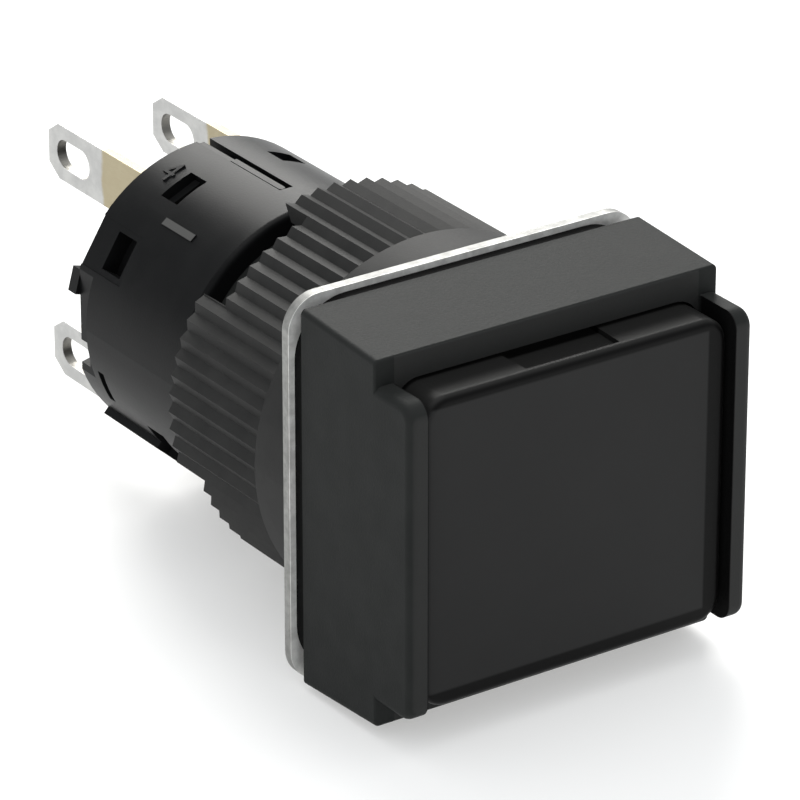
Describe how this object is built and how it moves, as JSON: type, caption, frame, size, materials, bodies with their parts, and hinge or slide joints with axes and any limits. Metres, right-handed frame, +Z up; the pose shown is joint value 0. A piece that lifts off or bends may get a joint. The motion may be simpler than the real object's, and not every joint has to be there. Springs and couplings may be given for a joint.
{
  "type": "panel pushbutton switch",
  "caption": "Square-headed panel pushbutton with side guards, round barrel, knurled nut and contact block with flat solder tabs",
  "frame": {"origin": "middle of the head's rear face, on the panel's front plane, on the barrel's axis", "axes": "+Y along the barrel into the panel, the button faces -Y, +Z up with the guards left and right along X"},
  "size_m": [0.0186, 0.0387, 0.0186],
  "materials": {
    "head_plastic": "fine satin moulding",
    "cap_plastic": "satin",
    "inner_plastic": "plain moulding",
    "rubber": "dull",
    "spring_steel": "drawn wire",
    "plate_steel": "bright plated",
    "nut_plastic": "satin moulding",
    "block_plastic": "satin moulding",
    "terminal_metal": "silver plated",
    "contact_silver": "bright",
    "bridge_brass": "rolled strip"
  },
  "bodies": {
    "housing": {"head_housing": "head_plastic", "operator_spring": "spring_steel", "panel_gasket": "rubber", "locating_plate": "plate_steel", "fixing_nut": "nut_plastic", "contact_housing": "block_plastic", "terminal_base": "block_plastic", "terminal_no_left": "terminal_metal", "terminal_no_right": "terminal_metal", "terminal_nc_left": "terminal_metal", "terminal_nc_right": "terminal_metal", "fixed_contact_tips": "contact_silver", "block_spring": "spring_steel"},
    "button": {"cap": "cap_plastic", "cap_carrier": "inner_plastic", "plunger_seal": "rubber", "contact_slide": "inner_plastic", "bridge_no": "bridge_brass", "bridge_nc": "bridge_brass", "moving_contact_tips": "contact_silver", "contact_spring_no": "spring_steel", "contact_spring_nc": "spring_steel"}
  },
  "joints": [
    {"name": "button_press", "type": "slide", "parent": "housing", "child": "button", "axis": [0, 1, 0], "range_m": [0, 0.0025], "stiffness_N_per_m": 800, "springref_m": -0.0025, "deforming": ["operator_spring", "block_spring"]}
  ]
}
